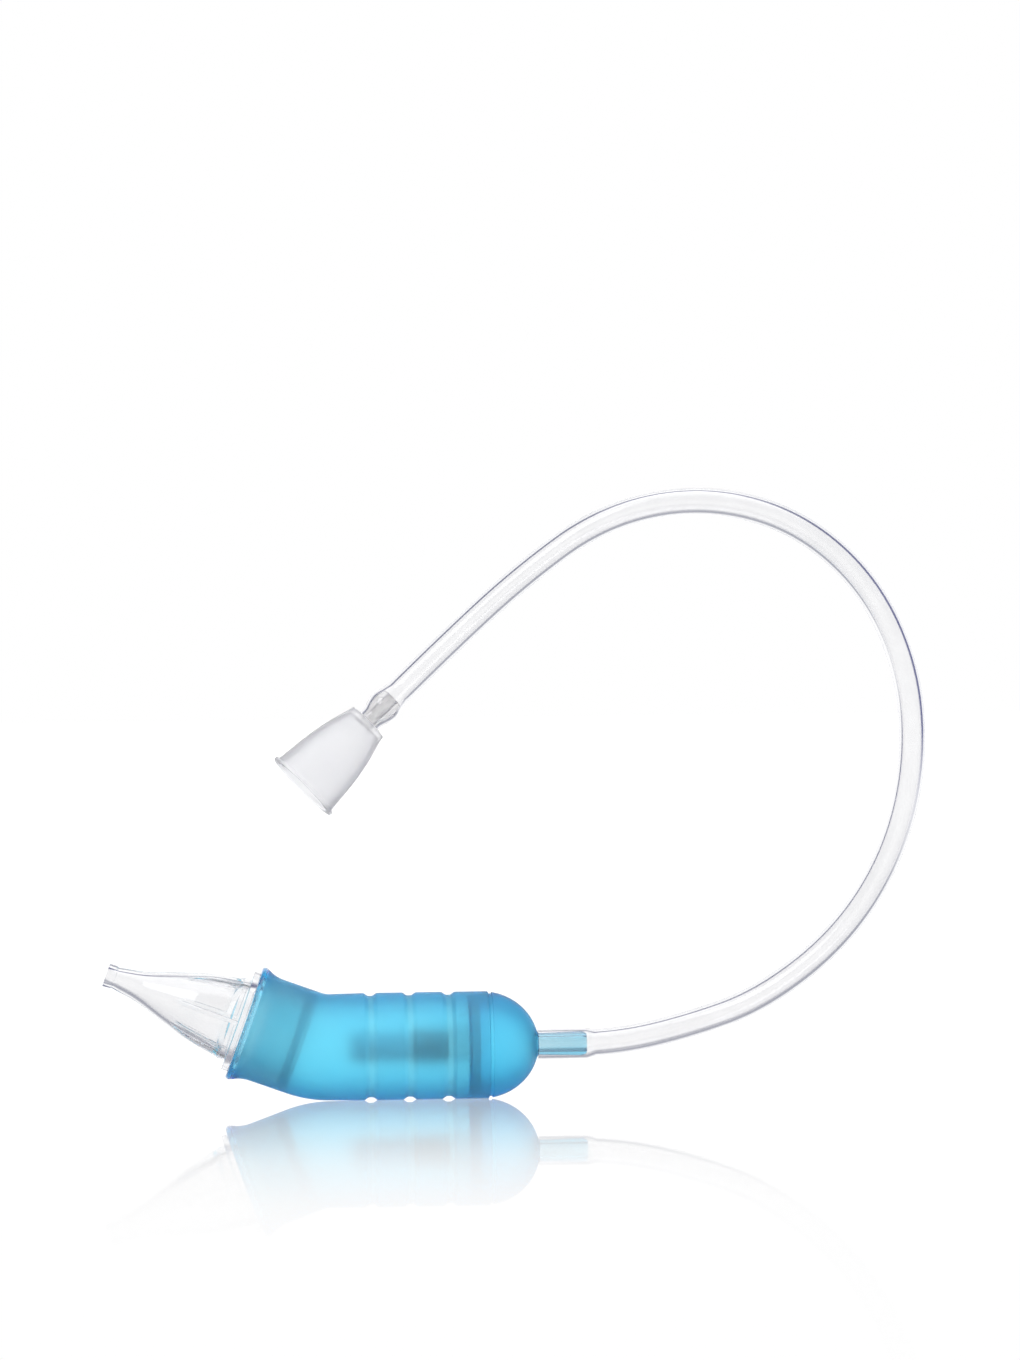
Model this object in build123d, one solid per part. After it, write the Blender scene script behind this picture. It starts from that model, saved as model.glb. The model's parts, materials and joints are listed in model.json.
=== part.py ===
"""Mouth-suction nasal aspirator: nozzle, bent grip shell, rear cap, absorbent filter, hose, mouthpiece.

Millimetres, +Z up. The grip lies along X on the surface z = 0, the nozzle points to -X and upwards,
and the hose leaves the rear cap along +X and comes back over the grip in a standing loop.
The origin is under the middle of the handpiece.
"""

import os
from math import pi, radians, tan

from build123d import *

# Clearance between bodies that slide or turn on each other, and how far a cutter passes a surface
RUNNING = 0.03
PAST = 1.0

# Grip shell: a straight grip, a bend, and a straight front with a flared rim
GRIP_R = 14.0
BEND_R = 13.85
WALL = 1.6
SHELL_BORE_R = GRIP_R - WALL
SEAM_X = 37.5
BEND_X = -7.5
BEND_ANGLE = 20.0
BEND_ARC_R = 20.0
FRONT_LENGTH = 20.1
RIM_R = 15.5
RIM_BEAD = 0.9
FLARE_LENGTH = 7.0
FLARE_MIDDLE_RISE = 0.5
FLARE_END_SLOPE = 0.3
FIRST_GROOVE_X = 6.6
GROOVE_PITCH = 10.2
GROOVE_COUNT = 3
GROOVE_DEPTH = 0.75
GROOVE_FLOOR = 1.3
GROOVE_FLANK = 1.4

# Nozzle: its outlines are (distance from the flange's front face towards the tip, radius)
FLANGE_R = 13.45
FLANGE_THICKNESS = 1.7
TIP_LENGTH = 36.3
TIP_R = 3.15
COLLAR_LENGTH = 2.2
CONE_OUTLINE = [(0, 10.6), (10.2, 9.35), (18.6, 6.8), (26.9, 4.1), (33.2, 2.95)]
NOZZLE_WALL = 1.2
SKIRT_LENGTH = 16.0
SKIRT_BORE_R = 10.6
FIN_COUNT = 6
FIN_THICKNESS = 1.1
FIN_CREST = [(0, 12.1), (10.3, 9.95), (18.3, 6.7)]
FIN_FOOT = [(18.3, 6.2), (0, 9.9)]
FRAME_STEP = 1.8
FRAME_STEP_R = 11.1

# Soft seal rings near the ends of the nozzle's skirt and of the cap's plug
SEAL_SETBACK = 1.0
SEAL_WIDTH = 2.0
SEAL_DEPTH = 1.0

# Rear cap and its hose spigot
PLUG_LENGTH = 5.6
PLUG_BORE_R = 10.8
DOME_CENTRE_X = 35.7
DOME_LENGTH = 15.0
SEAM_STEP = 0.9
SEAM_STEP_R = 13.4
SPIGOT_ROOT_R = 2.85
SPIGOT_R = 3.2
SPIGOT_BORE_R = 1.7
SPIGOT_END_X = 63.2
SPIGOT_CHAMFER = (1.0, 0.5)

# Absorbent filter, and the holder that keeps it on the grip's axis
FILTER_R = 3.8
FILTER_LENGTH = 25.0
FILTER_FRONT_X = 1.2
FILTER_ROUNDING = 0.8
HOLDER_WALL = 0.9
HOLDER_GRIP = 8.0
HOLDER_DISC = 1.3

# Hose: a cuff stretched over the spigot, a free run along the route, and an end stretched over the barb
HOSE_R = 3.5
HOSE_BORE_R = 2.5
HOSE_START_X = 50.5
CUFF_R = 4.03
CUFF_BORE_R = SPIGOT_R + 2 * RUNNING
CUFF_TAPER = 2.0
RUN_START_X = SPIGOT_END_X + CUFF_TAPER
SHOULDER = Vector(6.9, -0.1, 98.9)
MOUTH_AXIS = Vector(-0.717, -0.100, -0.690).normalized()
HOSE_END_WALL = 0.95
HOSE_END_LENGTH = 11.0
LAST_RUN = 17.0
RUN_END = SHOULDER - MOUTH_AXIS * HOSE_END_LENGTH
HOSE_ROUTE = [
    Vector(60, 0, GRIP_R),
    Vector(70.5, 0, GRIP_R),
    Vector(89, -1, 18),
    Vector(109, -3.5, 25),
    Vector(129.5, -7, 41),
    Vector(143, -10, 62),
    Vector(149, -12.5, 86.5),
    Vector(147.5, -13, 111.5),
    Vector(137, -12.5, 134.5),
    Vector(118, -10.5, 151),
    Vector(93.5, -8, 157),
    Vector(68.5, -5, 152),
    Vector(47, -1, 136.5),
    RUN_END - MOUTH_AXIS * LAST_RUN,
    RUN_END,
]
ARC_SHARE = 0.45

# Mouthpiece: along its axis, below zero into the hose and above zero into the cup
BARB_OUTLINE = [(-8.9, 2.95), (-6.2, 3.5), (-4.2, 3.15), (-2.0, 2.45), (0, 2.4)]
BARB_BORE_R = 1.5
CUP_LENGTH = 24.3
CUP_ROUNDING = 0.9
CUP_BACK_R = 5.7
CUP_MIDDLE = (10.0, 8.05)
CUP_MOUTH_R = 9.65
CUP_WALL = 1.1
LIP_R = 10.33
LIP_THICKNESS = 0.9
CUP_FLOOR = 1.6

GRIP_FRAME = Plane(origin=(0, 0, GRIP_R), x_dir=(1, 0, 0), z_dir=(0, -1, 0))
NOSE_FRAME = Plane(
    origin=(BEND_X, 0, GRIP_R),
    x_dir=Vector(-1, 0, 0).rotate(Axis.Y, BEND_ANGLE),
    z_dir=(0, 1, 0),
)
MOUTH_FRAME = Plane(origin=SHOULDER, x_dir=MOUTH_AXIS, z_dir=Vector(0, 1, 0).cross(MOUTH_AXIS))


def turned(frame, *edges):
    """A solid turned about the frame's X axis from its closed half outline (along the axis, radius)."""
    return frame * revolve(make_face(edges), Axis.X, 360)


def cylinder(frame, start, end, radius):
    """A plain cylinder on the frame's X axis."""
    return turned(frame, Polyline((start, 0), (end, 0), (end, radius), (start, radius), close=True))


def ring(frame, start, end, inner_r, outer_r):
    """A plain ring about the frame's X axis."""
    outline = [(start, inner_r), (end, inner_r), (end, outer_r), (start, outer_r)]
    return turned(frame, Polyline(*outline, close=True))


def under_curve(frame, curve):
    """A solid turned from the space between a curve and the frame's X axis."""
    first, last = curve @ 0, curve @ 1
    return turned(frame, curve, Polyline(last, (last.X, 0), (first.X, 0), first))


def seal_groove(frame, start):
    """The groove for a soft ring in a plug of the shell's bore."""
    return ring(frame, start, start + SEAL_WIDTH, SHELL_BORE_R - SEAL_DEPTH, SHELL_BORE_R)


def seal(frame, start):
    """A soft ring in its groove, just clear of the shell's bore."""
    outer_r = SHELL_BORE_R - RUNNING / 2
    return ring(frame, start, start + SEAL_WIDTH, SHELL_BORE_R - SEAL_DEPTH, outer_r)


def grip_groove(x):
    """A finger groove with sloping flanks, as a ring to cut from the grip."""
    half_floor = GROOVE_FLOOR / 2
    half_top = half_floor + GROOVE_FLANK * (GROOVE_DEPTH + PAST)
    outline = [
        (x - half_floor, GRIP_R - GROOVE_DEPTH),
        (x + half_floor, GRIP_R - GROOVE_DEPTH),
        (x + half_top, GRIP_R + PAST),
        (x - half_top, GRIP_R + PAST),
    ]
    return turned(GRIP_FRAME, Polyline(*outline, close=True))


def bent_core(grip_r, bend_r):
    """A solid along the grip, round the bend and up the straight front, without the flare."""
    tangent = BEND_ARC_R * tan(radians(BEND_ANGLE / 2))
    start_x = BEND_X + tangent
    grip = under_curve(GRIP_FRAME, Line((start_x, bend_r), (SEAM_X, grip_r)))
    centre = (start_x, 0, GRIP_R + BEND_ARC_R)
    section = Plane(origin=(start_x, 0, GRIP_R), x_dir=(0, 1, 0), z_dir=(-1, 0, 0)) * Circle(bend_r)
    bend = revolve(section, Axis(centre, (0, 1, 0)), BEND_ANGLE)
    return grip + bend + cylinder(NOSE_FRAME, tangent, FRONT_LENGTH, bend_r)


def flared_rim():
    """The flare and the rounded bead at the front of the shell, as a solid."""
    bead_x = FRONT_LENGTH - RIM_BEAD
    flare = Spline(
        (FRONT_LENGTH - FLARE_LENGTH, BEND_R),
        (FRONT_LENGTH - FLARE_LENGTH / 2, BEND_R + FLARE_MIDDLE_RISE),
        (bead_x, RIM_R),
        tangents=[(1, 0), (1, FLARE_END_SLOPE)],
    )
    bead = RadiusArc((bead_x, RIM_R), (FRONT_LENGTH, RIM_R - RIM_BEAD), RIM_BEAD)
    rest = Polyline(bead @ 1, (FRONT_LENGTH, 0), (FRONT_LENGTH - FLARE_LENGTH, 0), flare @ 0)
    return turned(NOSE_FRAME, flare, bead, rest)


def body_shell():
    """The bent grip shell: open at both ends, bored for the nozzle's skirt and the cap's plug."""
    shell = bent_core(GRIP_R, BEND_R) + flared_rim()
    for index in range(GROOVE_COUNT):
        shell -= grip_groove(FIRST_GROOVE_X + index * GROOVE_PITCH)
    return shell - bent_core(SHELL_BORE_R, SHELL_BORE_R)


def nozzle_cone(flange_x, thinner_by):
    """The nozzle's cone from its flange to behind its collar, as a solid."""
    points = [(flange_x + distance, radius - thinner_by) for distance, radius in CONE_OUTLINE]
    return under_curve(NOSE_FRAME, Spline(*points))


def nozzle_fin(flange_x):
    """One fin on the rear half of the nozzle, rising out of the wall towards the flange."""
    crest = Spline(*[(flange_x + distance, radius) for distance, radius in FIN_CREST])
    foot = [(flange_x + distance, radius) for distance, radius in FIN_FOOT]
    foot = Polyline(crest @ 1, *foot, crest @ 0)
    return extrude(make_face([crest, foot]), FIN_THICKNESS / 2, both=True)


def nozzle():
    """The clear nasal tip: collar, cone, fins, flange, and the skirt that plugs into the shell."""
    flange_x = FRONT_LENGTH + FLANGE_THICKNESS
    tip_x = flange_x + TIP_LENGTH
    neck_x = flange_x + CONE_OUTLINE[-1][0]
    neck_r = CONE_OUTLINE[-1][1]
    skirt_end_x = FRONT_LENGTH - SKIRT_LENGTH
    body = nozzle_cone(flange_x, 0)
    for index in range(FIN_COUNT):
        turn = Rotation((index + 0.5) * 360 / FIN_COUNT, 0, 0)
        body += NOSE_FRAME * (turn * nozzle_fin(flange_x))
    body += cylinder(NOSE_FRAME, flange_x, flange_x + FRAME_STEP, FRAME_STEP_R)
    body += cylinder(NOSE_FRAME, neck_x, tip_x, neck_r)
    body += cylinder(NOSE_FRAME, tip_x - COLLAR_LENGTH, tip_x, TIP_R)
    body += cylinder(NOSE_FRAME, FRONT_LENGTH, flange_x, FLANGE_R)
    body += cylinder(NOSE_FRAME, skirt_end_x, FRONT_LENGTH, SHELL_BORE_R - RUNNING)
    body -= nozzle_cone(flange_x, NOZZLE_WALL)
    body -= cylinder(NOSE_FRAME, neck_x, tip_x, neck_r - NOZZLE_WALL)
    body -= cylinder(NOSE_FRAME, skirt_end_x, flange_x, CONE_OUTLINE[0][1] - NOZZLE_WALL)
    body -= cylinder(NOSE_FRAME, skirt_end_x, FRONT_LENGTH - NOZZLE_WALL, SKIRT_BORE_R)
    return body - seal_groove(NOSE_FRAME, skirt_end_x + SEAL_SETBACK)


def dome(length, radius):
    """A half ellipsoid that closes the back of the grip, as a solid."""
    quarter = EllipticalCenterArc((DOME_CENTRE_X, 0), length, radius, start_angle=0, arc_size=90)
    return turned(GRIP_FRAME, quarter, Polyline(quarter @ 1, (DOME_CENTRE_X, 0), quarter @ 0))


def spigot():
    """The hose spigot: it widens a little towards its end, which is chamfered."""
    chamfer_length, chamfer_depth = SPIGOT_CHAMFER
    outline = Polyline(
        (HOSE_START_X - WALL, SPIGOT_ROOT_R),
        (HOSE_START_X, SPIGOT_ROOT_R),
        (SPIGOT_END_X - chamfer_length, SPIGOT_R),
        (SPIGOT_END_X, SPIGOT_R - chamfer_depth),
    )
    return under_curve(GRIP_FRAME, outline)


def rear_cap():
    """The rear cap: plug, dome and hose spigot in one piece, hollow for the air."""
    plug_x = SEAM_X - PLUG_LENGTH
    seat_x = HOSE_START_X - RUNNING
    cap = dome(DOME_LENGTH, GRIP_R) & cylinder(GRIP_FRAME, SEAM_X, seat_x, GRIP_R)
    cap -= ring(GRIP_FRAME, SEAM_X, SEAM_X + SEAM_STEP, SEAM_STEP_R, GRIP_R + PAST)
    cap += cylinder(GRIP_FRAME, plug_x, SEAM_X, SHELL_BORE_R - RUNNING)
    cap += spigot()
    cap -= dome(DOME_LENGTH - WALL, PLUG_BORE_R)
    cap -= cylinder(GRIP_FRAME, plug_x, DOME_CENTRE_X, PLUG_BORE_R)
    cap -= cylinder(GRIP_FRAME, SEAM_X, SPIGOT_END_X, SPIGOT_BORE_R)
    return cap - seal_groove(GRIP_FRAME, plug_x + SEAL_SETBACK)


def filter_roll():
    """The absorbent roll that stops the mucus, with softly rounded ends."""
    roll = cylinder(GRIP_FRAME, FILTER_FRONT_X, FILTER_FRONT_X + FILTER_LENGTH, FILTER_R)
    return fillet(roll.edges().filter_by(GeomType.CIRCLE), FILTER_ROUNDING)


def filter_holder():
    """The holder: a disc in the cap's plug and a sleeve that grips the back of the filter."""
    filter_end_x = FILTER_FRONT_X + FILTER_LENGTH
    disc_end_x = SEAM_X - PLUG_LENGTH + HOLDER_DISC
    sleeve_r = FILTER_R + RUNNING
    holder = cylinder(GRIP_FRAME, filter_end_x - HOLDER_GRIP, disc_end_x, sleeve_r + HOLDER_WALL)
    holder += cylinder(GRIP_FRAME, disc_end_x - HOLDER_DISC, disc_end_x, PLUG_BORE_R)
    holder -= cylinder(GRIP_FRAME, filter_end_x - HOLDER_GRIP, filter_end_x, sleeve_r)
    return holder - cylinder(GRIP_FRAME, filter_end_x, disc_end_x, sleeve_r - HOLDER_WALL)


def hose_path():
    """The free run's centreline, from the cuff: straight runs joined by arcs as large as they allow."""
    radii = []
    for before, corner, after in zip(HOSE_ROUTE, HOSE_ROUTE[1:], HOSE_ROUTE[2:]):
        half_turn = radians((corner - before).get_angle(after - corner)) / 2
        shorter = min((corner - before).length, (after - corner).length)
        radii.append(ARC_SHARE * shorter / tan(half_turn))
    print("hose arc radii, mm:", [round(radius, 1) for radius in radii])
    return FilletPolyline(Vector(RUN_START_X, 0, GRIP_R), *HOSE_ROUTE[1:], radius=radii)


def hose_run(path):
    """The free run: a ring section swept along the centreline."""
    section = Plane(origin=path @ 0, z_dir=path % 0) * (Circle(HOSE_R) - Circle(HOSE_BORE_R))
    return sweep(section, path=path)


def cuff():
    """The hose where it is stretched over the cap's spigot, tapering back to its own radius."""
    outline = Polyline(
        (HOSE_START_X, CUFF_BORE_R),
        (SPIGOT_END_X + RUNNING, CUFF_BORE_R),
        (RUN_START_X, HOSE_BORE_R),
        (RUN_START_X, HOSE_R),
        (SPIGOT_END_X, CUFF_R),
        (HOSE_START_X, CUFF_R),
        close=True,
    )
    return turned(GRIP_FRAME, outline)


def barb_curve(grow):
    """The side of the mouthpiece's barb, grown outwards by a distance."""
    return Spline(*[(along, radius + grow) for along, radius in BARB_OUTLINE])


def hose_mouth_end():
    """The hose where it is stretched over the mouthpiece's barb, tapering back to its own radius."""
    bore = barb_curve(2 * RUNNING)
    outside = barb_curve(HOSE_END_WALL)
    free_end = Polyline(bore @ 0, (-HOSE_END_LENGTH, HOSE_BORE_R), (-HOSE_END_LENGTH, HOSE_R), outside @ 0)
    return turned(MOUTH_FRAME, bore, Line(bore @ 1, outside @ 1), outside, free_end)


def hose():
    """The whole hose in one piece: both stretched ends and the free run between them."""
    path = hose_path()
    run = hose_run(path)
    wall_section = pi * (HOSE_R**2 - HOSE_BORE_R**2)
    print("free run, mm:", round(path.length, 1), "volume / section:", round(run.volume / wall_section, 1))
    return cuff() + run + hose_mouth_end()


def cup_outline(start, thinner_by):
    """The cup's gently bulging side, from near its shoulder to behind its lip."""
    middle_x, middle_r = CUP_MIDDLE
    return ThreePointArc(
        (start, CUP_BACK_R - thinner_by),
        (middle_x, middle_r - thinner_by),
        (CUP_LENGTH - LIP_THICKNESS, CUP_MOUTH_R - thinner_by),
    )


def mouthpiece():
    """The milky mouthpiece: a cup for the lips and a barb for the hose, in one moulding."""
    side = cup_outline(CUP_ROUNDING, 0)
    rounded_back = RadiusArc((0, CUP_BACK_R - CUP_ROUNDING), side @ 0, CUP_ROUNDING)
    rest = Polyline(side @ 1, (CUP_LENGTH - LIP_THICKNESS, 0), (0, 0), rounded_back @ 0)
    cup = turned(MOUTH_FRAME, rounded_back, side, rest)
    cup += cylinder(MOUTH_FRAME, CUP_LENGTH - LIP_THICKNESS, CUP_LENGTH, LIP_R)
    cup += under_curve(MOUTH_FRAME, barb_curve(0))
    cup -= under_curve(MOUTH_FRAME, cup_outline(CUP_FLOOR, CUP_WALL))
    cup -= cylinder(MOUTH_FRAME, CUP_LENGTH - LIP_THICKNESS, CUP_LENGTH, CUP_MOUTH_R - CUP_WALL)
    return cup - cylinder(MOUTH_FRAME, BARB_OUTLINE[0][0], CUP_LENGTH, BARB_BORE_R)


PARTS = {
    "body_shell": body_shell(),
    "nozzle": nozzle(),
    "nozzle_seal": seal(NOSE_FRAME, FRONT_LENGTH - SKIRT_LENGTH + SEAL_SETBACK),
    "rear_cap": rear_cap(),
    "cap_seal": seal(GRIP_FRAME, SEAM_X - PLUG_LENGTH + SEAL_SETBACK),
    "filter": filter_roll(),
    "filter_holder": filter_holder(),
    "hose": hose(),
    "mouthpiece": mouthpiece(),
}

os.makedirs("parts", exist_ok=True)
for name, solid in PARTS.items():
    export_step(solid, f"parts/{name}.step")
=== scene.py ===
"""The looks of a mouth-suction nasal aspirator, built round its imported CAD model.

Every outline is in millimetres, as (distance along the piece's axis, radius), and is put in place in metres.
What a material measures is in metres too: the depth of its grain, and where a finish starts and ends.
The sections follow the aspirator as it is put together, after the camera and the light that it is seen in.
"""

import json
from math import cos, pi, radians, sin

import bmesh
import bpy
from mathutils import Matrix, Vector


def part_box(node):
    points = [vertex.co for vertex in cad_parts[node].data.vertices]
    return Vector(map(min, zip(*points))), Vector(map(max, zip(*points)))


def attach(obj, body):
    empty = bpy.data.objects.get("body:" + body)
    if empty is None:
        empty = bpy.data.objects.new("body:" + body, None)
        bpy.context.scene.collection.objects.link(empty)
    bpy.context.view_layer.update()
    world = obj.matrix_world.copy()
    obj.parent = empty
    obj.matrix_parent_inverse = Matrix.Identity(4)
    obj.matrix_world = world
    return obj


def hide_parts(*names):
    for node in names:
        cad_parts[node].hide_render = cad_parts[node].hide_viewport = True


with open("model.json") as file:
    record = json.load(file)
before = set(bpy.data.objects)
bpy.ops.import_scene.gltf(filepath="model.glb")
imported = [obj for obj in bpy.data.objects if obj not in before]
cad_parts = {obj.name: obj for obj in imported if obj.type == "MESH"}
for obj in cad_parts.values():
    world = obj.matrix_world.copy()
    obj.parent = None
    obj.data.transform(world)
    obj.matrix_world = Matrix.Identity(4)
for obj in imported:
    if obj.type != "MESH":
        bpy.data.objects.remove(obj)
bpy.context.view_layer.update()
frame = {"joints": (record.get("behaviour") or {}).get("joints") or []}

# ---- Camera ----------------------------------------------------------------------------------------
# A long lens, level with the middle of the hose loop and a little to the left of square on. It leans by
# a fraction of a degree. Light may bounce many times, because it goes round inside clear plastic.
VIEW_CENTRE = Vector((0.04427, 0, 0.1095))
VIEW_DISTANCE = 1.2
VIEW_TURN = radians(3.5)
VIEW_LEAN = radians(0.65)
LENS = 121.16
NEAREST_SEEN = 0.05
FURTHEST_SEEN = 50
MOST_BOUNCES = 32

forward = Vector((sin(VIEW_TURN), cos(VIEW_TURN), 0))
level_right = Vector((cos(VIEW_TURN), -sin(VIEW_TURN), 0))
view_right = cos(VIEW_LEAN) * level_right - sin(VIEW_LEAN) * Vector((0, 0, 1))
view_up = view_right.cross(forward)
camera = bpy.data.objects.new("camera", bpy.data.cameras.new("camera"))
camera.data.lens = LENS
camera.data.clip_start = NEAREST_SEEN
camera.data.clip_end = FURTHEST_SEEN
camera.matrix_world = Matrix.Translation(VIEW_CENTRE - VIEW_DISTANCE * forward) @ Matrix(
    (view_right, view_up, -forward)
).transposed().to_4x4()
bpy.context.scene.collection.objects.link(camera)
bpy.context.scene.camera = camera
bpy.context.scene.view_settings.view_transform = "Standard"
bpy.context.scene.cycles.max_bounces = MOST_BOUNCES
bpy.context.scene.cycles.transmission_bounces = MOST_BOUNCES
bpy.context.scene.cycles.glossy_bounces = MOST_BOUNCES

# ---- Surroundings: a white room and a polished pale floor ------------------------------------------
# The room is bright all round, and brightest overhead. Dark cards stand round the edge of the bright back
# wall, darkest low on the right, and draw the lines in clear plastic. What the camera sees past the object
# is plain white. The floor is polished acrylic, and its shine fades towards the camera.


class Reading:
    """One value in a node tree. Arithmetic on it adds Math nodes."""

    def __init__(self, tree, socket=None):
        self.tree = tree
        self.socket = socket

    def node(self, kind, settings=None, sockets=None, output=0):
        """Adds a node, sets it up, feeds its sockets with numbers or readings, and reads an output."""
        made = self.tree.nodes.new(kind)
        for name, setting in (settings or {}).items():
            setattr(made, name, setting)
        for name, value in (sockets or {}).items():
            if isinstance(value, Reading):
                self.tree.links.new(value.socket, made.inputs[name])
            else:
                made.inputs[name].default_value = value
        return Reading(self.tree, made.outputs[output] if made.outputs else None)

    def maths(self, operation, first, second):
        return self.node("ShaderNodeMath", {"operation": operation}, {0: first, 1: second})

    def __add__(self, other):
        return self.maths("ADD", self, other)

    def __radd__(self, other):
        return self.maths("ADD", other, self)

    def __sub__(self, other):
        return self.maths("SUBTRACT", self, other)

    def __rsub__(self, other):
        return self.maths("SUBTRACT", other, self)

    def __mul__(self, other):
        return self.maths("MULTIPLY", self, other)

    def __rmul__(self, other):
        return self.maths("MULTIPLY", other, self)

    def step(self, low, high):
        """0 below low and 1 above high, with a soft step between them."""
        ends = {"From Min": low, "From Max": high}
        return self.node("ShaderNodeMapRange", {"interpolation_type": "SMOOTHSTEP"}, {"Value": self, **ends})

    def mix(self, first, second):
        """A colour that goes from the first to the second as this value goes from 0 to 1."""
        colours = {0: self, 6: first, 7: second}
        return self.node("ShaderNodeMix", {"data_type": "RGBA"}, colours, output=2)

    def part(self, axis):
        """One coordinate of a place or a direction."""
        return self.node("ShaderNodeSeparateXYZ", {}, {"Vector": self}, output="XYZ".index(axis))


ROOM_WHITE = (1, 1, 1, 1)
ROOM_BEHIND = (1.20, 1.20, 1.20, 1)
ROOM_FRONT = (1.0, 1.0, 1.02, 1)
CARDS_LEFT = (0.12, 0.13, 0.24, 1)
CARDS_RIGHT = (0.07, 0.08, 0.26, 1)
OVERHEAD = (2.2, 2.2, 2.24, 1)
BACK_WALL_EDGE = (0.62, 0.88)
CARDS_EDGE = (0.26, 0.34)
CEILING_EDGE = (0.80, 0.93)
LEFT_TO_RIGHT = (-0.7, 0.5)

room = bpy.data.worlds.new("white_room")
bpy.context.scene.world = room
room.use_nodes = True
room.node_tree.nodes.clear()
start = Reading(room.node_tree)
towards = start.node("ShaderNodeTexCoord", output="Generated")
towards = start.node("ShaderNodeVectorMath", {"operation": "NORMALIZE"}, {0: towards})
behind = towards.part("Y").step(*BACK_WALL_EDGE)
cards = towards.part("Y").step(*CARDS_EDGE) * (1 - behind)
above = towards.part("Z").step(*CEILING_EDGE)
low_right = (towards.part("X") - towards.part("Z")).step(*LEFT_TO_RIGHT)
card_shade = low_right.mix(CARDS_LEFT, CARDS_RIGHT)
light = behind.mix(ROOM_FRONT, ROOM_BEHIND)
light = cards.mix(light, card_shade)
light = above.mix(light, OVERHEAD)
seen_directly = start.node("ShaderNodeLightPath")
light = seen_directly.mix(light, ROOM_WHITE)
background = start.node("ShaderNodeBackground", {}, {"Color": light, "Strength": 1.0})
start.node("ShaderNodeOutputWorld", {}, {"Surface": background})

FLOOR_HALF = 12.0
FLOOR_GREY = (0.45, 0.46, 0.52, 1)
FLOOR_IOR = 1.85
LOW_ANGLE = (0.50, 0.75)
MIRROR_ROUGHNESS = 0.02
# Each layer of shine: its share, where along Y it is gone, and where it is full.
POLISH = [(0.60, -0.17, 0.0), (0.44, -0.28, -0.10), (0.06, -0.75, -0.20)]

bm = bmesh.new()
bmesh.ops.create_grid(bm, x_segments=1, y_segments=1, size=FLOOR_HALF)
floor = bpy.data.objects.new("floor", bpy.data.meshes.new("floor"))
bm.to_mesh(floor.data)
bm.free()
bpy.context.scene.collection.objects.link(floor)
polished = bpy.data.materials.new("polished_acrylic")
polished.use_nodes = True
polished.node_tree.nodes.clear()
start = Reading(polished.node_tree)
place = start.node("ShaderNodeTexCoord", output="Object")
polish = sum(share * place.part("Y").step(gone, full) for share, gone, full in POLISH)
gloss = polish * start.node("ShaderNodeFresnel", {}, {"IOR": FLOOR_IOR})
low_angle = start.node("ShaderNodeLayerWeight", {}, {"Blend": 0.5}, output="Facing").step(*LOW_ANGLE)
seen_directly = start.node("ShaderNodeLightPath")
tone = seen_directly.mix(low_angle.mix(FLOOR_GREY, ROOM_BEHIND), ROOM_WHITE)
glow = start.node("ShaderNodeEmission", {}, {"Color": tone, "Strength": 1.0})
mirror = start.node("ShaderNodeBsdfGlossy", {}, {"Color": ROOM_WHITE, "Roughness": MIRROR_ROUGHNESS})
surface = start.node("ShaderNodeMixShader", {}, {0: gloss, 1: glow, 2: mirror})
start.node("ShaderNodeOutputMaterial", {}, {"Surface": surface})
floor.data.materials.append(polished)

# ---- Grip shell ------------------------------------------------------------------------------------
# The real shell is one injection moulding in frosted, tinted polypropylene: a straight grip with three
# finger grooves, a bend of twenty degrees, and a flared rim that ends in a polished bead.
TURN_STEPS = 128
SHARP = radians(20)
CREASE = radians(40)
MM = Matrix.Scale(0.001, 4)

shell_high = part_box("body_shell")[1]
cap_low, cap_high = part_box("rear_cap")
AXIS_HEIGHT = (cap_low.z + cap_high.z) / 2 * 1000
SEAM_X = shell_high.x * 1000
BEND_X = -7.5
BEND_ANGLE = radians(20)
BEND_R = 20.0
# How far before and after the bend's corner its arc starts and ends.
BEND_TANGENT = 3.53
BEND_START_X = BEND_X + BEND_TANGENT
BEND_LENGTH = BEND_R * BEND_ANGLE
BEND_RINGS = 14
FRONT_LENGTH = 20.1
RIM_X = BEND_START_X - BEND_LENGTH - (FRONT_LENGTH - BEND_TANGENT)
GRIP_R = 14.0
FRONT_R = 13.85
SHELL_BORE_R = 12.4
RIM_R = 15.5
RIM_FACE = 0.45
FLARE = [(7.0, 13.85), (5.2, 13.93), (3.5, 14.3), (2.2, 14.85), (0.9, 15.47)]
GROOVES = [6.6, 16.8, 27.0]
GROOVE_R = 13.25
GROOVE_HALF_FLOOR = 0.65
GROOVE_HALF_TOP = 1.7
SHELL_ROUNDING = 0.35

on_grip = Matrix.Translation((0, 0, AXIS_HEIGHT / 1000)) @ MM
bend_corner = Vector((BEND_X / 1000, 0, AXIS_HEIGHT / 1000))
on_nose = Matrix.Translation(bend_corner) @ Matrix.Rotation(BEND_ANGLE, 4, "Y") @ MM


def smooth_line(points, fineness=6):
    """The points of a smooth curve through a few drawn points, as Blender's own curve gives them."""
    curve = bpy.data.curves.new("drawn", "CURVE")
    curve.dimensions = "3D"
    curve.resolution_u = fineness
    spline = curve.splines.new("BEZIER")
    spline.bezier_points.add(len(points) - 1)
    for knot, (x, r) in zip(spline.bezier_points, points):
        knot.co = (x, 0, r)
        knot.handle_left_type = "AUTO"
        knot.handle_right_type = "AUTO"
    holder = bpy.data.objects.new("drawn", curve)
    mesh = bpy.data.meshes.new_from_object(holder)
    line = [(vertex.co.x, vertex.co.z) for vertex in mesh.vertices]
    bpy.data.meshes.remove(mesh)
    bpy.data.curves.remove(curve)
    return line


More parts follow.
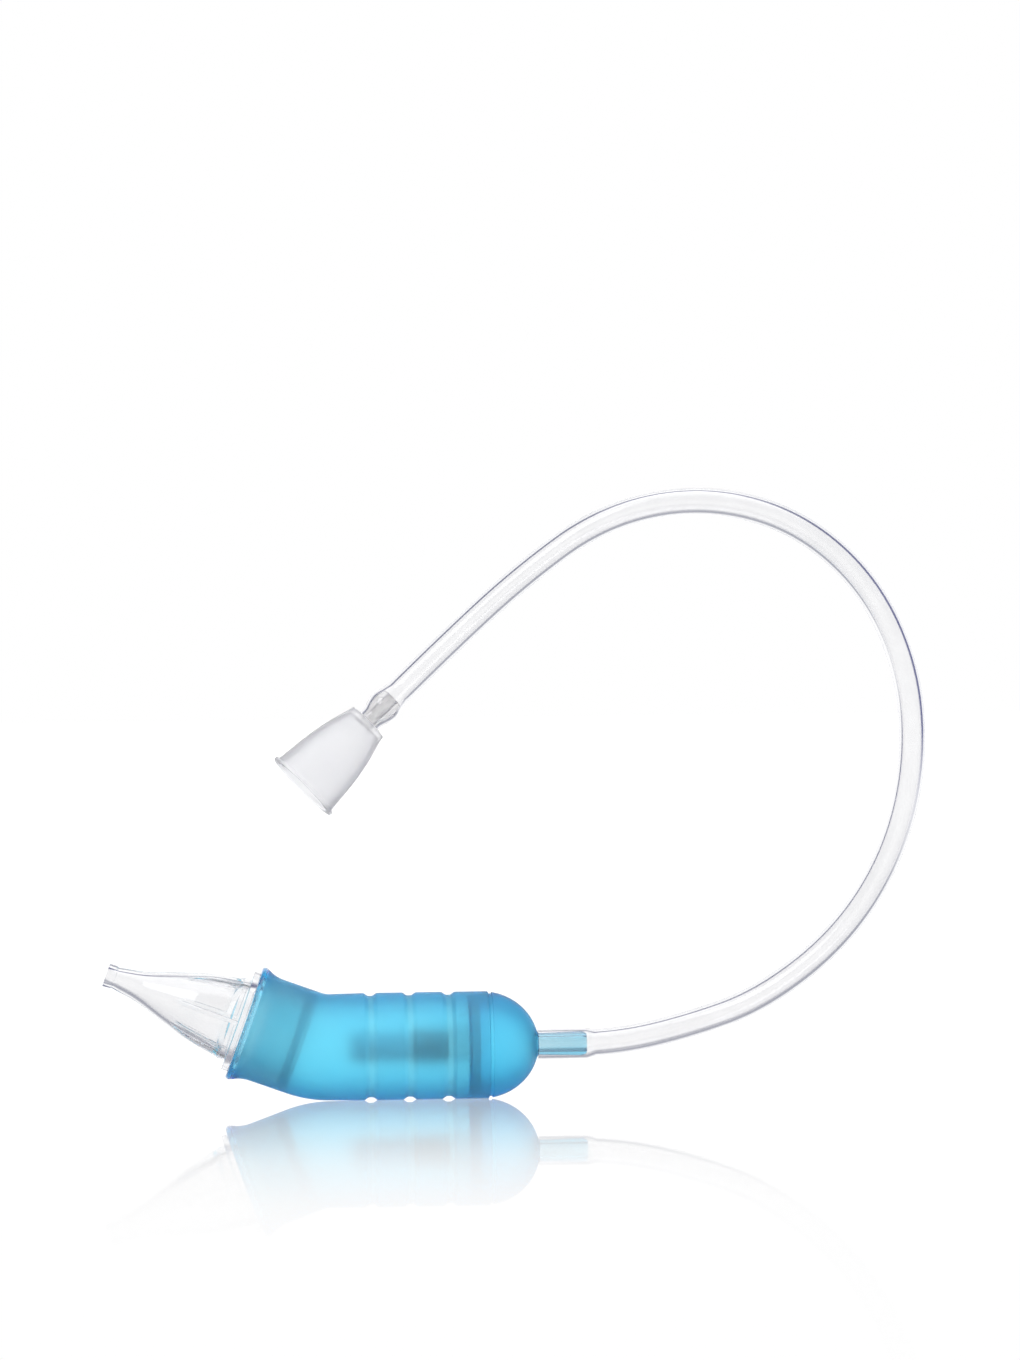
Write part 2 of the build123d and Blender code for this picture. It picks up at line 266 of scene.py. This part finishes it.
def turned(outline, rounding=0.15, steps=TURN_STEPS):
    """A closed outline of (distance, radius), its corners rounded, turned about the X axis."""
    bm = bmesh.new()
    corners = [bm.verts.new((x, 0, r)) for x, r in outline]
    bm.faces.new(corners)
    sharp = [vertex for vertex in corners if vertex.calc_edge_angle(0) > SHARP]
    bmesh.ops.bevel(
        bm,
        geom=sharp,
        offset=rounding,
        segments=3,
        profile=0.5,
        affect="VERTICES",
        material=-1,
        clamp_overlap=True,
    )
    bmesh.ops.delete(bm, geom=bm.faces[:], context="FACES_ONLY")
    outline_parts = bm.verts[:] + bm.edges[:]
    bmesh.ops.spin(
        bm,
        geom=outline_parts,
        axis=(1, 0, 0),
        cent=(0, 0, 0),
        angle=2 * pi,
        steps=steps,
        use_merge=True,
    )
    bmesh.ops.recalc_face_normals(bm, faces=bm.faces[:])
    return bm


def finished(name, bm, place, material, body, nodes):
    """Puts a shape in its place as a piece that rides on a body and stands for some CAD nodes."""
    bmesh.ops.transform(bm, matrix=place, verts=bm.verts[:])
    piece = bpy.data.objects.new(name, bpy.data.meshes.new(name))
    bm.to_mesh(piece.data)
    bm.free()
    piece.data.shade_smooth()
    piece.data.set_sharp_from_angle(angle=CREASE)
    piece.data.materials.append(material)
    bpy.context.scene.collection.objects.link(piece)
    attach(piece, body)
    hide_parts(*nodes)
    return piece


def new_material(name):
    """An empty material, and a reading to start its nodes from."""
    material = bpy.data.materials.new(name)
    material.use_nodes = True
    material.node_tree.nodes.clear()
    return material, Reading(material.node_tree)


def noise(start, place, scale, detail=2.0):
    """Even noise from 0 to 1 over a place in metres."""
    sockets = {"Vector": place, "Scale": scale, "Detail": detail}
    return start.node("ShaderNodeTexNoise", {}, sockets)


def surfaced(start, height, depth, colour, roughness, constants, inside=None):
    """The end of every material: a Principled shader with a bump, a colour and a roughness."""
    relief = start.node("ShaderNodeBump", {}, {"Height": height, "Distance": depth})
    varied = {"Base Color": colour, "Roughness": roughness, "Normal": relief}
    ends = {"Surface": start.node("ShaderNodeBsdfPrincipled", {}, {**varied, **constants})}
    if inside:
        ends["Volume"] = inside
    start.node("ShaderNodeOutputMaterial", {}, ends)


BLUE = (0.60, 0.94, 0.99, 1)
BLUE_THIN = (0.66, 0.96, 0.995, 1)
# Painted highlight: where the mould was polished, the blue is painted almost white.
BLUE_PAINTED_HIGHLIGHT = (0.95, 0.97, 0.985, 1)
BLUE_DEPTH = (0.0, 0.79, 0.97, 1)
SHELL_DENSITY = 380.0
BLUE_IOR = 1.36
CLOUD_SCALE = 45
CLOUD_SPREAD = (0.35, 0.65)
FROST = 0.45
FROST_GRAIN = 0.10
FROST_SCALE = 2600
FROST_DEPTH = 0.00002
POLISHED = 0.08
RIM_POLISH = (0.0250, 0.0262)


def frosted_blue(name, polished_and_highlit, density):
    """Frosted blue moulding. The mask passed in is 1 where the mould was polished: there the frost goes, and
    the colour is painted almost white, as a painted highlight.
    """
    material, start = new_material(name)
    place = start.node("ShaderNodeTexCoord", output="Object")
    cloud = noise(start, place, CLOUD_SCALE)
    smooth = polished_and_highlit(start, place)
    # Where polished, the blue is painted almost white. This is a painted highlight, not a colour of the
    # plastic.
    colour = smooth.mix(cloud.step(*CLOUD_SPREAD).mix(BLUE, BLUE_THIN), BLUE_PAINTED_HIGHLIGHT)
    grain = noise(start, place, FROST_SCALE, 3)
    rough = FROST + FROST_GRAIN * grain
    roughness = rough - smooth * (rough - POLISHED)
    constants = {"Transmission Weight": 0.97, "IOR": BLUE_IOR}
    depth = start.node("ShaderNodeVolumeAbsorption", {}, {"Color": BLUE_DEPTH, "Density": density})
    surfaced(start, grain * (1 - smooth), FROST_DEPTH, colour, roughness, constants, depth)
    return material


def distance_along(start, place, origin, direction):
    """How far a place lies from an origin along a direction, in metres."""
    offset = start.node("ShaderNodeVectorMath", {"operation": "SUBTRACT"}, {0: place, 1: origin})
    both = {0: offset, 1: direction}
    return start.node("ShaderNodeVectorMath", {"operation": "DOT_PRODUCT"}, both, output="Value")


def rim_polished_and_highlit(start, place):
    """1 on the end of the rim, which stands furthest along the nose. It is polished there, and its colour is
    painted paler as a painted highlight.
    """
    nose = (-cos(BEND_ANGLE), 0, sin(BEND_ANGLE))
    return distance_along(start, place, on_grip.translation, nose).step(*RIM_POLISH)


def bend_forward(bm):
    """Bends a shape that lies along the grip's axis round the arc, and on up the straight nose."""
    centre = Matrix.Translation((BEND_START_X, 0, BEND_R))
    for vertex in bm.verts:
        past = BEND_START_X - vertex.co.x
        if past > 0:
            angle = min(past / BEND_R, BEND_ANGLE)
            level = Vector((BEND_START_X - (past - angle * BEND_R), vertex.co.y, vertex.co.z))
            vertex.co = centre @ Matrix.Rotation(angle, 4, "Y") @ centre.inverted() @ level


outside = [(SEAM_X, GRIP_R)]
for x in reversed(GROOVES):
    outside.append((x + GROOVE_HALF_TOP, GRIP_R))
    outside.append((x + GROOVE_HALF_FLOOR, GROOVE_R))
    outside.append((x - GROOVE_HALF_FLOOR, GROOVE_R))
    outside.append((x - GROOVE_HALF_TOP, GRIP_R))
bend_xs = [BEND_START_X - BEND_LENGTH * ring / BEND_RINGS for ring in range(BEND_RINGS + 1)]
outside += [(x, FRONT_R) for x in bend_xs]
outside += smooth_line([(RIM_X + back, r) for back, r in FLARE])
outside.append((RIM_X, RIM_R - RIM_FACE))
outside.append((RIM_X, SHELL_BORE_R))
inside = [(x, SHELL_BORE_R) for x in reversed(bend_xs)]
inside.append((SEAM_X, SHELL_BORE_R))
shell_shape = turned(outside + inside, rounding=SHELL_ROUNDING)
bend_forward(shell_shape)
frosted_shell = frosted_blue("frosted_shell", rim_polished_and_highlit, SHELL_DENSITY)
finished("grip_shell", shell_shape, on_grip, frosted_shell, "grip", ["body_shell"])

# ---- Nozzle and its seal ---------------------------------------------------------------------------
# The tip is a clear styrene moulding: a thin cone with a thicker collar at its mouth, six fins, a flange
# that stops against the rim, and a skirt that pushes into the shell with a soft ring in its groove.
FLANGE_THICKNESS = 1.7
FLANGE_X = -(FRONT_LENGTH + FLANGE_THICKNESS)
FLANGE_R = 13.45
CONE_LENGTH = 36.3
TIP_X = FLANGE_X - CONE_LENGTH
TIP_R = 3.15
COLLAR_LENGTH = 2.2
NECK_R = 2.95
NOZZLE_WALL = 1.2
CONE = [(0, 10.6), (10.2, 9.35), (18.6, 6.8), (26.9, 4.1), (33.2, 2.95)]
SKIRT_LENGTH = 16.0
SKIRT_END_X = -(FRONT_LENGTH - SKIRT_LENGTH)
SKIRT_R = 12.37
SKIRT_BORE_R = 10.6
STEP_LENGTH = 1.8
STEP_X = FLANGE_X - STEP_LENGTH
STEP_R = 11.1
# How near the points of a drawn curve may come to a corner. Nearer ones would spoil the corner's rounding.
CLOSEST = 0.1
NOZZLE_ROUNDING = 0.2
SEAL_GROOVE_R = 11.4
SEAL_WIDTH = 2.0
SEAL_SETBACK = 1.0
FIN_COUNT = 6
FIN_THICKNESS = 1.1
FIN_ROUNDING = 0.2
FIN_CREST = [(0, 12.1), (10.3, 9.95), (18.3, 6.7)]
FIN_FOOT = [(18.3, 6.0), (0, 9.7)]
CLEAR = (0.885, 0.885, 0.89, 1)
CLEAR_SHADE = (0.865, 0.865, 0.87, 1)
RIGID_IOR = 1.50
RIGID_ROUGHNESS = 0.05
RIGID_RIPPLE = 60
RIPPLE_DEPTH = 0.0002
HAZE_SCALE = 150
HAZE_SPREAD = (0.3, 0.7)


def clear_plastic(name, ior, roughness, ripples):
    """Clear moulded or drawn plastic, with the faint ripple that its making leaves in it."""
    material, start = new_material(name)
    place = start.node("ShaderNodeTexCoord", output="Object")
    ripple = noise(start, place, ripples, 1)
    haze = noise(start, place, HAZE_SCALE)
    colour = haze.step(*HAZE_SPREAD).mix(CLEAR, CLEAR_SHADE)
    constants = {"Transmission Weight": 1.0, "IOR": ior}
    surfaced(start, ripple, RIPPLE_DEPTH, colour, roughness, constants)
    return material


cone = [(FLANGE_X - ahead, r) for ahead, r in smooth_line(CONE)]
cone_outside = [point for point in cone if point[0] < STEP_X - CLOSEST]
cone_inside = [(x, r - NOZZLE_WALL) for x, r in reversed(cone)]
seal_x = SKIRT_END_X - SEAL_SETBACK
outline = [
    (SKIRT_END_X, SKIRT_BORE_R),
    (SKIRT_END_X, SKIRT_R),
    (seal_x, SKIRT_R),
    (seal_x, SEAL_GROOVE_R),
    (seal_x - SEAL_WIDTH, SEAL_GROOVE_R),
    (seal_x - SEAL_WIDTH, SKIRT_R),
    (-FRONT_LENGTH, SKIRT_R),
    (-FRONT_LENGTH, FLANGE_R),
    (FLANGE_X, FLANGE_R),
    (FLANGE_X, STEP_R),
    (STEP_X, STEP_R),
]
outline += cone_outside
outline += [
    (TIP_X + COLLAR_LENGTH, NECK_R),
    (TIP_X + COLLAR_LENGTH, TIP_R),
    (TIP_X, TIP_R),
    (TIP_X, NECK_R - NOZZLE_WALL),
]
outline += cone_inside
outline.append((-FRONT_LENGTH + NOZZLE_WALL, cone_inside[-1][1]))
outline.append((-FRONT_LENGTH + NOZZLE_WALL, SKIRT_BORE_R))
nozzle_shape = turned(outline, rounding=NOZZLE_ROUNDING)


def fin(turn):
    """One fin: a thin plate with a curved crest, standing on the cone's wall."""
    bm = bmesh.new()
    crest = [(FLANGE_X - ahead, r) for ahead, r in smooth_line(FIN_CREST)]
    foot = [(FLANGE_X - ahead, r) for ahead, r in FIN_FOOT]
    side = bm.faces.new([bm.verts.new((x, -FIN_THICKNESS / 2, r)) for x, r in crest + foot])
    raised = bmesh.ops.extrude_face_region(bm, geom=[side])["geom"]
    raised = [part for part in raised if isinstance(part, bmesh.types.BMVert)]
    bmesh.ops.translate(bm, vec=(0, FIN_THICKNESS, 0), verts=raised)
    bmesh.ops.recalc_face_normals(bm, faces=bm.faces[:])
    long_edges = [edge for edge in bm.edges if edge.calc_face_angle(0) > SHARP]
    bmesh.ops.bevel(
        bm,
        geom=long_edges,
        offset=FIN_ROUNDING,
        segments=2,
        profile=0.5,
        affect="EDGES",
        material=-1,
        clamp_overlap=True,
    )
    bmesh.ops.rotate(bm, matrix=Matrix.Rotation(turn, 3, "X"), verts=bm.verts[:])
    return bm


styrene = clear_plastic("clear_rigid_plastic", RIGID_IOR, RIGID_ROUGHNESS, RIGID_RIPPLE)
nozzle = finished("clear_nozzle", nozzle_shape, on_nose, styrene, "nozzle_unit", ["nozzle"])
fins = bmesh.new()
for index in range(FIN_COUNT):
    one = fin((index + 0.5) * 2 * pi / FIN_COUNT)
    plate = bpy.data.meshes.new("fin")
    one.to_mesh(plate)
    one.free()
    fins.from_mesh(plate)
    bpy.data.meshes.remove(plate)
bmesh.ops.transform(fins, matrix=on_nose, verts=fins.verts[:])
fin_object = bpy.data.objects.new("fins", bpy.data.meshes.new("fins"))
fins.to_mesh(fin_object.data)
fins.free()
bpy.context.scene.collection.objects.link(fin_object)
join = nozzle.modifiers.new("fins", "BOOLEAN")
join.operation = "UNION"
join.solver = "EXACT"
join.object = fin_object
bpy.context.view_layer.update()
joined = bpy.data.meshes.new_from_object(nozzle.evaluated_get(bpy.context.evaluated_depsgraph_get()))
nozzle.modifiers.clear()
nozzle.data = joined
nozzle.data.shade_smooth()
nozzle.data.set_sharp_from_angle(angle=CREASE)
bpy.data.objects.remove(fin_object)

SEAL_R = 12.385
SILICONE = (0.86, 0.90, 0.94, 1)
SILICONE_PALE = (0.92, 0.94, 0.96, 1)
SILICONE_IOR = 1.15
SILICONE_ROUGHNESS = 0.40
MOTTLE_ROUGHNESS = 0.15
MOTTLE_SCALE = 900
MOTTLE_DEPTH = 0.00002
SEAL_ROUNDING = 0.3
seal_material, start = new_material("soft_silicone")
place = start.node("ShaderNodeTexCoord", output="Object")
mottle = noise(start, place, MOTTLE_SCALE)
rough = SILICONE_ROUGHNESS + MOTTLE_ROUGHNESS * mottle
constants = {"Transmission Weight": 0.90, "IOR": SILICONE_IOR}
surfaced(start, mottle, MOTTLE_DEPTH, mottle.mix(SILICONE, SILICONE_PALE), rough, constants)


def seal_ring(start_x):
    """A soft ring of square section with rounded edges, in its groove from start_x back."""
    end_x = start_x + SEAL_WIDTH
    outline = [(start_x, SEAL_GROOVE_R), (end_x, SEAL_GROOVE_R), (end_x, SEAL_R), (start_x, SEAL_R)]
    return turned(outline, rounding=SEAL_ROUNDING)


nose_ring = seal_ring(seal_x - SEAL_WIDTH)
finished("nozzle_ring", nose_ring, on_nose, seal_material, "nozzle_unit", ["nozzle_seal"])

# ---- Filter and its holder -------------------------------------------------------------------------
# The filter is a roll of absorbent felt that the user throws away. It is pushed into a thin moulded
# sleeve on a disc, which sits in the plug of the rear cap and keeps the roll in the middle of the bore.
filter_low, filter_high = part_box("filter")
FILTER_X = filter_low.x * 1000
FILTER_END_X = filter_high.x * 1000
FILTER_R = (filter_high.z - filter_low.z) / 2 * 1000
FILTER_CORE_R = 0.3
FILTER_ROUNDING = 0.8
FILTER_STEPS = 64
FELT = (0.50, 0.56, 0.62, 1)
FELT_PALE = (0.76, 0.80, 0.84, 1)
FELT_ROUGHNESS = 0.95
FIBRE_SCALE = (700, 2600, 2600)
FIBRE_SPREAD = (0.35, 0.65)
FIBRE_DEPTH = 0.0004

felt, start = new_material("absorbent_felt")
place = start.node("ShaderNodeTexCoord", output="Object")
tangled = start.node("ShaderNodeMapping", {}, {"Vector": place, "Scale": FIBRE_SCALE})
fibre = noise(start, tangled, 1.0, 6)
colour = fibre.step(*FIBRE_SPREAD).mix(FELT, FELT_PALE)
surfaced(start, fibre, FIBRE_DEPTH, colour, FELT_ROUGHNESS, {"Sheen Weight": 0.4})
roll = turned(
    [
        (FILTER_X, FILTER_CORE_R),
        (FILTER_X, FILTER_R),
        (FILTER_END_X, FILTER_R),
        (FILTER_END_X, FILTER_CORE_R),
    ],
    rounding=FILTER_ROUNDING,
    steps=FILTER_STEPS,
)
bmesh.ops.subdivide_edges(roll, edges=roll.edges[:], cuts=2, use_grid_fill=True)
finished("felt_roll", roll, on_grip, felt, "filter_unit", ["filter"])

HOLDER_R = 4.73
SLEEVE_BORE_R = 3.83
HOLDER_BORE_R = 2.93
HOLDER_GRIP = 8.0
HOLDER_GAP = 0.02
HOLDER_IOR = 1.20
HOLDER_ROUGHNESS = 0.1
DISC_X = cap_low.x * 1000
DISC_THICKNESS = 1.3
DISC_END_X = DISC_X + DISC_THICKNESS
DISC_R = 10.8
holder_shape = turned(
    [
        (FILTER_END_X - HOLDER_GRIP, SLEEVE_BORE_R),
        (FILTER_END_X - HOLDER_GRIP, HOLDER_R),
        (DISC_X, HOLDER_R),
        (DISC_X, DISC_R),
        (DISC_END_X, DISC_R),
        (DISC_END_X, HOLDER_BORE_R),
        (FILTER_END_X + HOLDER_GAP, HOLDER_BORE_R),
        (FILTER_END_X + HOLDER_GAP, SLEEVE_BORE_R),
    ]
)
holder_plastic = clear_plastic("clear_soft_plastic", HOLDER_IOR, HOLDER_ROUGHNESS, RIGID_RIPPLE)
finished("roll_holder", holder_shape, on_grip, holder_plastic, "cap_unit", ["filter_holder"])

# ---- Rear cap and its seal -------------------------------------------------------------------------
# The cap is moulded in the same frosted blue as the shell: a plug for the shell's bore with a soft ring,
# a domed back, and a smooth hose spigot that widens a little so that the hose can't slip off.
PLUG_X = cap_low.x * 1000
SPIGOT_END_X = cap_high.x * 1000
PLUG_R = 12.37
PLUG_BORE_R = 10.8
DOME_X = 35.7
DOME_LENGTH = 15.0
DOME_WALL = 1.6
SEAM_STEP = 0.9
SEAM_STEP_R = 13.4
HOSE_START_X = 50.5
SPIGOT_ROOT_R = 2.85
SPIGOT_R = 3.2
SPIGOT_BORE_R = 1.7
SPIGOT_ROOT_ROUND = 0.35
SPIGOT_LEAD = 1.0
SPIGOT_LEAD_IN = 0.5
DOME_RINGS = 40
CAP_ROUNDING = 0.2
CAP_DENSITY = 270.0
SPIGOT_POLISH_START = HOSE_START_X - 0.6
PLUG_POLISH_END = SEAM_X - 0.1


def dome_line(length, radius, low_r, high_r):
    """Points down a quarter ellipse, from high_r to low_r above the axis."""
    line = []
    for ring in range(DOME_RINGS + 1):
        angle = pi / 2 * ring / DOME_RINGS
        x = DOME_X + length * sin(angle)
        r = radius * cos(angle)
        if low_r < r < high_r:
            line.append((x, r))
    return line


def spigot_polished_and_highlit(start, place):
    """1 on the plug and on the spigot, which slide into the shell and into the hose. They are polished, and
    their colour is painted paler as a painted highlight.
    """
    spigot = place.part("X").step(SPIGOT_POLISH_START / 1000, HOSE_START_X / 1000)
    plug = 1 - place.part("X").step(PLUG_POLISH_END / 1000, SEAM_X / 1000)
    return spigot + plug


groove_x = PLUG_X + SEAL_SETBACK
outline = [
    (PLUG_X, PLUG_BORE_R),
    (PLUG_X, PLUG_R),
    (groove_x, PLUG_R),
    (groove_x, SEAL_GROOVE_R),
    (groove_x + SEAL_WIDTH, SEAL_GROOVE_R),
    (groove_x + SEAL_WIDTH, PLUG_R),
    (SEAM_X, PLUG_R),
    (SEAM_X, SEAM_STEP_R),
    (SEAM_X + SEAM_STEP, SEAM_STEP_R),
]
outer_dome = dome_line(DOME_LENGTH, GRIP_R, SPIGOT_ROOT_R + 2 * CLOSEST, GRIP_R)
outer_dome = [point for point in outer_dome if SEAM_X + SEAM_STEP < point[0] < HOSE_START_X - CLOSEST]
outline.append((SEAM_X + SEAM_STEP, outer_dome[0][1] + CLOSEST / 2))
outline += outer_dome
outline += [
    (HOSE_START_X, SPIGOT_ROOT_R + SPIGOT_ROOT_ROUND),
    (HOSE_START_X, SPIGOT_ROOT_R),
    (SPIGOT_END_X - SPIGOT_LEAD, SPIGOT_R),
    (SPIGOT_END_X, SPIGOT_R - SPIGOT_LEAD_IN),
    (SPIGOT_END_X, SPIGOT_BORE_R),
]
inner_dome = dome_line(DOME_LENGTH - DOME_WALL, PLUG_BORE_R, SPIGOT_BORE_R + 2 * CLOSEST, GRIP_R)
outline.append((inner_dome[-1][0] + 3 * CLOSEST, SPIGOT_BORE_R))
outline += reversed(inner_dome)
cap_shape = turned(outline, rounding=CAP_ROUNDING)
frosted_cap = frosted_blue("frosted_cap", spigot_polished_and_highlit, CAP_DENSITY)
finished("rear_cap_moulding", cap_shape, on_grip, frosted_cap, "cap_unit", ["rear_cap"])
finished("cap_ring", seal_ring(groove_x), on_grip, seal_material, "cap_unit", ["cap_seal"])

# ---- Hose ------------------------------------------------------------------------------------------
# One length of clear, drawn PVC tube, seven millimetres over a five millimetre bore. It keeps the curve
# of the coil that it was cut from, and both of its ends are stretched over a spigot or a barb.
turn_joint = next(joint for joint in frame["joints"] if joint["name"] == "mouthpiece_turn")
MOUTH_AXIS = Vector(turn_joint["axis"]).normalized()
SHOULDER = Vector(turn_joint["pos_m"])
HOSE_R = 3.5
HOSE_BORE_R = 2.5
CUFF_R = 4.03
CUFF_BORE_R = 3.26
CUFF_TAPER = 2.0
HOSE_END_LENGTH = 0.011
LAST_RUN = 0.017
HOSE_SIDES = 40
HOSE_FINENESS = 14
HOSE_IOR = 1.53
HOSE_ROUGHNESS = 0.0
HOSE_RIPPLE = 40
RUN_END = SHOULDER - MOUTH_AXIS * HOSE_END_LENGTH
HOSE_ROUTE = [
    (0.060, 0, 0.014),
    (0.0705, 0, 0.014),
    (0.089, -0.001, 0.018),
    (0.109, -0.0035, 0.025),
    (0.1295, -0.007, 0.041),
    (0.143, -0.010, 0.062),
    (0.149, -0.0125, 0.0865),
    (0.1475, -0.013, 0.1115),
    (0.137, -0.0125, 0.1345),
    (0.118, -0.0105, 0.151),
    (0.0935, -0.008, 0.157),
    (0.0685, -0.005, 0.152),
    (0.047, -0.001, 0.1365),
    tuple(RUN_END - MOUTH_AXIS * LAST_RUN),
    tuple(RUN_END),
]
BARB = [(-8.9, 2.95), (-6.2, 3.5), (-4.2, 3.15), (-2.0, 2.45), (0, 2.4)]
HOSE_END_WALL = 0.95
HOSE_FIT = 0.06


def hose_line():
    """The hose's centreline: a smooth NURBS curve along its route, as points in metres."""
    curve = bpy.data.curves.new("hose_line", "CURVE")
    curve.dimensions = "3D"
    curve.resolution_u = HOSE_FINENESS
    spline = curve.splines.new("NURBS")
    spline.points.add(len(HOSE_ROUTE) - 1)
    for knot, place in zip(spline.points, HOSE_ROUTE):
        knot.co = (*place, 1)
    spline.order_u = 3
    spline.use_endpoint_u = True
    holder = bpy.data.objects.new("hose_line", curve)
    mesh = bpy.data.meshes.new_from_object(holder)
    line = [vertex.co.copy() for vertex in mesh.vertices]
    bpy.data.meshes.remove(mesh)
    bpy.data.curves.remove(curve)
    return line


def skin(stations):
    """A closed skin of rings, in order: each station is a centre, a direction and a radius in metres."""
    bm = bmesh.new()
    bmesh.ops.create_circle(bm, segments=HOSE_SIDES, radius=1.0)
    first_ring = bm.edges[:]
    ring = bm.edges[:]
    ring_verts = bm.verts[:]
    turn = stations[0][1].to_track_quat("Z", "Y")
    direction = stations[0][1]
    now = Matrix.Identity(4)
    for index, (centre, next_direction, radius) in enumerate(stations):
        turn = direction.rotation_difference(next_direction) @ turn
        direction = next_direction
        wanted = Matrix.LocRotScale(centre, turn, Vector((radius, radius, radius)))
        if index:
            grown = bmesh.ops.extrude_edge_only(bm, edges=ring)["geom"]
            ring = [part for part in grown if isinstance(part, bmesh.types.BMEdge)]
            ring = [edge for edge in ring if len(edge.link_faces) == 1]
            ring_verts = [part for part in grown if isinstance(part, bmesh.types.BMVert)]
        bmesh.ops.transform(bm, matrix=wanted @ now.inverted(), verts=ring_verts)
        now = wanted
    bmesh.ops.bridge_loops(bm, edges=first_ring + ring)
    bmesh.ops.recalc_face_normals(bm, faces=bm.faces[:])
    return bm


run = hose_line()
while run[0].x * 1000 < SPIGOT_END_X + CUFF_TAPER:
    run.pop(0)
level = Vector((1, 0, 0))
cuff_xs = [HOSE_START_X, (HOSE_START_X + SPIGOT_END_X) / 2, SPIGOT_END_X]
cuff_places = [Vector((x / 1000, 0, AXIS_HEIGHT / 1000)) for x in cuff_xs]
run_directions = [(after - before).normalized() for before, after in zip(run, run[1:])]
run_directions.append(MOUTH_AXIS)
barb_line = smooth_line(BARB)
end_places = [SHOULDER + MOUTH_AXIS * (along / 1000) for along, r in barb_line]

outer = [(place, level, CUFF_R / 1000) for place in cuff_places]
outer += [(place, direction, HOSE_R / 1000) for place, direction in zip(run, run_directions)]
outer += [(place, MOUTH_AXIS, (r + HOSE_END_WALL) / 1000) for place, (along, r) in zip(end_places, barb_line)]
inner = [(place, level, CUFF_BORE_R / 1000) for place in cuff_places]
inner += [(place, direction, HOSE_BORE_R / 1000) for place, direction in zip(run, run_directions)]
inner += [(place, MOUTH_AXIS, (r + HOSE_FIT) / 1000) for place, (along, r) in zip(end_places, barb_line)]
clear_soft = clear_plastic("clear_soft_tube", HOSE_IOR, HOSE_ROUGHNESS, HOSE_RIPPLE)
hose_shape = skin(outer + inner[::-1])
here = Matrix.Identity(4)
hose = finished("clear_hose_tube", hose_shape, here, clear_soft, "hose_unit", ["hose"])
hose_path = cuff_places + run + end_places

# ---- Mouthpiece ------------------------------------------------------------------------------------
# A thin cup in milky polyethylene, moulded in one piece with the barb that the hose is pushed over.
# Its mouth ends in a narrow lip, and its wall is thin enough for light to come through. The barb is painted
# paler and warmer than the cup: painted light that stands in for the light shining through it.
CUP_LENGTH = 24.3
CUP_BACK_R = 5.7
CUP_ROUNDING = 0.9
CUP_MIDDLE = (10.0, 8.05)
CUP_MOUTH_R = 9.65
CUP_WALL = 1.1
CUP_FLOOR = 1.6
LIP_R = 10.33
LIP_THICKNESS = 0.9
BARB_BORE_R = 1.5
CUP_FINENESS = 16
CUP_CORNER = 0.25
FLOOR_CORNER = 0.3
BARB_ROOT = 0.1
BARB_FROST = 0.10
# Painted light: the barb's colour is paler and warmer than the cup's, to stand in for light shining through
# it.
BARB_PAINTED_LIGHT = (0.99, 0.985, 0.98, 1)
CUP_FROST = 0.38
MILKY = (0.92, 0.92, 0.925, 1)
MILKY_SHADE = (0.90, 0.90, 0.91, 1)
MILKY_IOR = 1.20
MILKY_SPREAD = (0.3, 0.7)
MILKY_CLOUD_SCALE = 120
MILKY_GRAIN = 0.08
MILKY_GRAIN_SCALE = 3000
MILKY_GRAIN_DEPTH = 0.00001
BARB_TO_CUP = (-0.0006, 0.0004)

at_mouth = Matrix.Translation(SHOULDER) @ MOUTH_AXIS.to_track_quat("X", "Z").to_matrix().to_4x4() @ MM
lip_x = CUP_LENGTH - LIP_THICKNESS
side = smooth_line([(CUP_ROUNDING, CUP_BACK_R), CUP_MIDDLE, (lip_x, CUP_MOUTH_R)], CUP_FINENESS)
hollow = [(x, r - CUP_WALL) for x, r in side if x > CUP_FLOOR]
outline = [*barb_line, (0, CUP_BACK_R - BARB_ROOT), *side, (lip_x, LIP_R), (CUP_LENGTH, LIP_R)]
outline.append((CUP_LENGTH, CUP_MOUTH_R - CUP_WALL))
outline += reversed(hollow)
outline += [(CUP_FLOOR, hollow[0][1] - FLOOR_CORNER), (CUP_FLOOR, BARB_BORE_R), (BARB[0][0], BARB_BORE_R)]
milky, start = new_material("milky_plastic")
place = start.node("ShaderNodeTexCoord", output="Object")
cloud = noise(start, place, MILKY_CLOUD_SCALE)
grain = noise(start, place, MILKY_GRAIN_SCALE, 3)
on_cup = distance_along(start, place, SHOULDER, MOUTH_AXIS).step(*BARB_TO_CUP)
rough = BARB_FROST + on_cup * (CUP_FROST - BARB_FROST + MILKY_GRAIN * grain)
# On the barb the colour is painted light, paler and warmer than the cup; on the cup it is the plastic's own
# cloudy tone.
colour = on_cup.mix(BARB_PAINTED_LIGHT, cloud.step(*MILKY_SPREAD).mix(MILKY, MILKY_SHADE))
constants = {
    "Transmission Weight": 0.84,
    "IOR": MILKY_IOR,
    "Subsurface Weight": 1.0,
    "Subsurface Radius": (1.0, 1.0, 1.0),
    "Subsurface Scale": 0.006,
}
surfaced(start, grain * on_cup, MILKY_GRAIN_DEPTH, colour, rough, constants)
cup_shape = turned(outline, rounding=CUP_CORNER)
finished("mouth_cup", cup_shape, at_mouth, milky, "mouth_unit", ["mouthpiece"])

# ---- Lights ----------------------------------------------------------------------------------------
# One broad soft box stands high on the left, in front, and draws the soft highlights.
key = bpy.data.lights.new("key_soft_box", "AREA")
key.shape = "RECTANGLE"
key.size = 0.6
key.size_y = 0.9
key.energy = 4
key_object = bpy.data.objects.new("key_soft_box", key)
key_place = Vector((-0.7, -0.9, 1.0))
key_object.location = key_place
key_object.rotation_mode = "QUATERNION"
key_object.rotation_quaternion = (key_place - VIEW_CENTRE).to_track_quat("Z", "Y")
bpy.context.scene.collection.objects.link(key_object)
